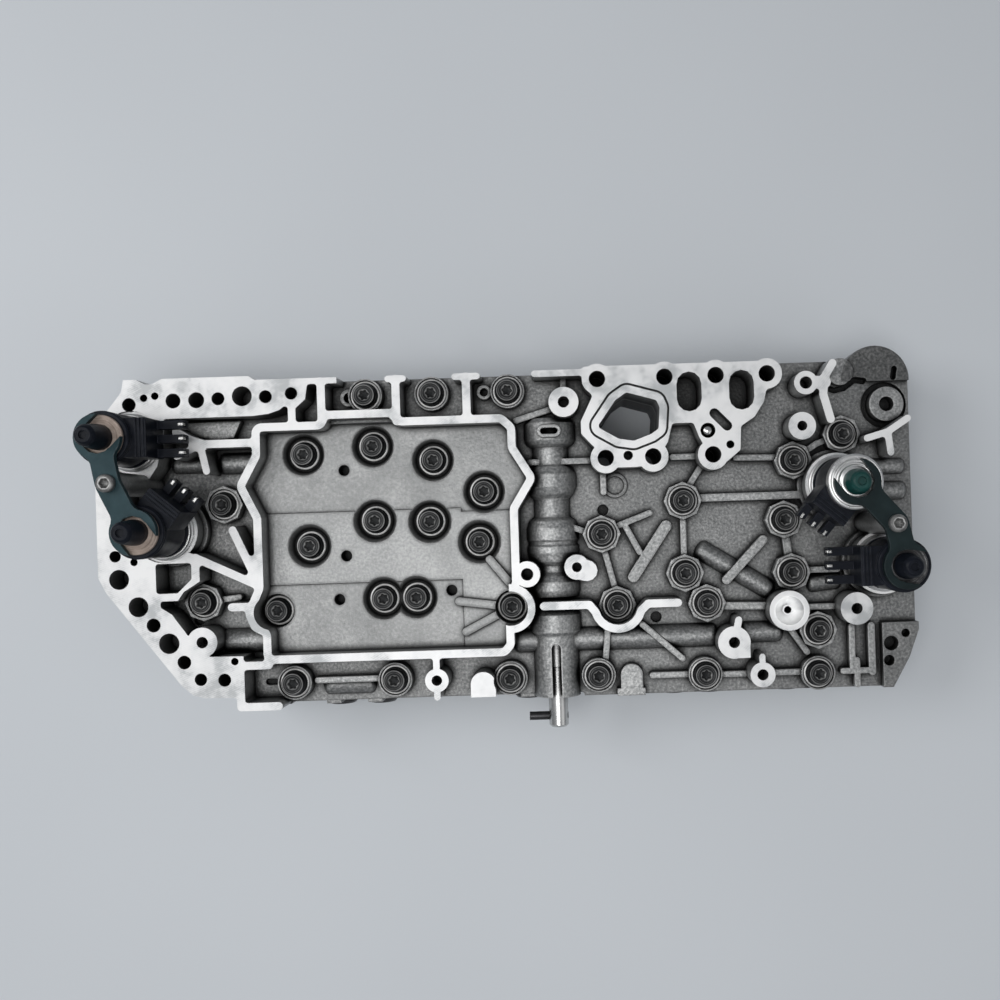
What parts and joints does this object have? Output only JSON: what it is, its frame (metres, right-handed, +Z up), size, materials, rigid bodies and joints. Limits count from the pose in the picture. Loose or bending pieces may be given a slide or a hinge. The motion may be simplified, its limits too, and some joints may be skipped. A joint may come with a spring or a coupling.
{
  "type": "transmission valve body",
  "caption": "Automatic transmission valve body: ported aluminium castings over a separator plate, with sliding manual valve, sprung spool valves and upright solenoids.",
  "frame": {"origin": "middle of the lower casting's flat bottom face", "axes": "+X along the body's length, +Y across it away from the manual valve's rod, +Z up through the solenoids"},
  "size_m": [0.3305, 0.1527, 0.095],
  "materials": {
    "casting": "cast, with machined faces",
    "plate_steel": "brushed",
    "screw_steel": "dark phosphated",
    "polished_steel": "polished",
    "black_steel": "black oxide",
    "spool_alloy": "turned",
    "spring_steel": "plain wire",
    "seal_rubber": "matt",
    "coil_plastic": "moulded black",
    "nose_green": "moulded dark green",
    "disc_beige": "satin beige",
    "slate_paint": "slate grey",
    "dark_paint": "dark grey",
    "terminal_brass": "plain"
  },
  "bodies": {
    "housing": {"lower_housing": "casting", "separator_plate": "plate_steel", "upper_housing": "casting", "pocket_bolts": "screw_steel", "deck_bolts": "screw_steel", "edge_bolts": "screw_steel", "plug_pins": "polished_steel", "solenoid_seals": "seal_rubber", "left_bracket": "slate_paint", "right_bracket": "dark_paint", "bracket_screws": "screw_steel", "check_balls": "polished_steel", "seal_ball": "polished_steel", "spring_1": "spring_steel", "plug_1": "black_steel", "spring_2": "spring_steel", "plug_2": "black_steel", "spring_3": "spring_steel", "plug_3": "black_steel", "spring_4": "spring_steel", "plug_4": "black_steel", "spring_5": "spring_steel", "plug_5": "black_steel", "spring_6": "spring_steel", "plug_6": "black_steel", "spring_7": "spring_steel", "plug_7": "black_steel", "sleeve_1": "plate_steel", "coil_1": "coil_plastic", "disc_1": "disc_beige", "nose_1": "coil_plastic", "terminals_1": "terminal_brass", "sleeve_2": "plate_steel", "coil_2": "coil_plastic", "disc_2": "disc_beige", "nose_2": "coil_plastic", "terminals_2": "terminal_brass", "sleeve_3": "plate_steel", "coil_3": "coil_plastic", "disc_3": "plate_steel", "nose_3": "nose_green", "terminals_3": "terminal_brass", "sleeve_4": "plate_steel", "coil_4": "coil_plastic", "disc_4": "black_steel", "nose_4": "coil_plastic", "terminals_4": "terminal_brass"},
    "manual_valve": {"manual_valve": "polished_steel", "manual_valve_pin": "black_steel"},
    "spool_1": {"spool_1": "spool_alloy"},
    "spool_2": {"spool_2": "spool_alloy"},
    "spool_3": {"spool_3": "spool_alloy"},
    "spool_4": {"spool_4": "spool_alloy"},
    "spool_5": {"spool_5": "spool_alloy"},
    "spool_6": {"spool_6": "spool_alloy"},
    "spool_7": {"spool_7": "spool_alloy"}
  },
  "joints": [
    {"name": "manual_valve_slide", "type": "slide", "parent": "housing", "child": "manual_valve", "axis": [0, 1, 0], "range_m": [-0.006, 0.006]},
    {"name": "spool_1_slide", "type": "slide", "parent": "housing", "child": "spool_1", "axis": [0, -1, 0], "range_m": [0, 0.005], "stiffness_N_per_m": 300, "deforming": ["spring_1"]},
    {"name": "spool_2_slide", "type": "slide", "parent": "housing", "child": "spool_2", "axis": [0, -1, 0], "range_m": [0, 0.005], "stiffness_N_per_m": 300, "deforming": ["spring_2"]},
    {"name": "spool_3_slide", "type": "slide", "parent": "housing", "child": "spool_3", "axis": [0, -1, 0], "range_m": [0, 0.005], "stiffness_N_per_m": 300, "deforming": ["spring_3"]},
    {"name": "spool_4_slide", "type": "slide", "parent": "housing", "child": "spool_4", "axis": [0, -1, 0], "range_m": [0, 0.005], "stiffness_N_per_m": 300, "deforming": ["spring_4"]},
    {"name": "spool_5_slide", "type": "slide", "parent": "housing", "child": "spool_5", "axis": [0, -1, 0], "range_m": [0, 0.005], "stiffness_N_per_m": 300, "deforming": ["spring_5"]},
    {"name": "spool_6_slide", "type": "slide", "parent": "housing", "child": "spool_6", "axis": [0, -1, 0], "range_m": [0, 0.005], "stiffness_N_per_m": 300, "deforming": ["spring_6"]},
    {"name": "spool_7_slide", "type": "slide", "parent": "housing", "child": "spool_7", "axis": [0, -1, 0], "range_m": [0, 0.005], "stiffness_N_per_m": 300, "deforming": ["spring_7"]}
  ]
}
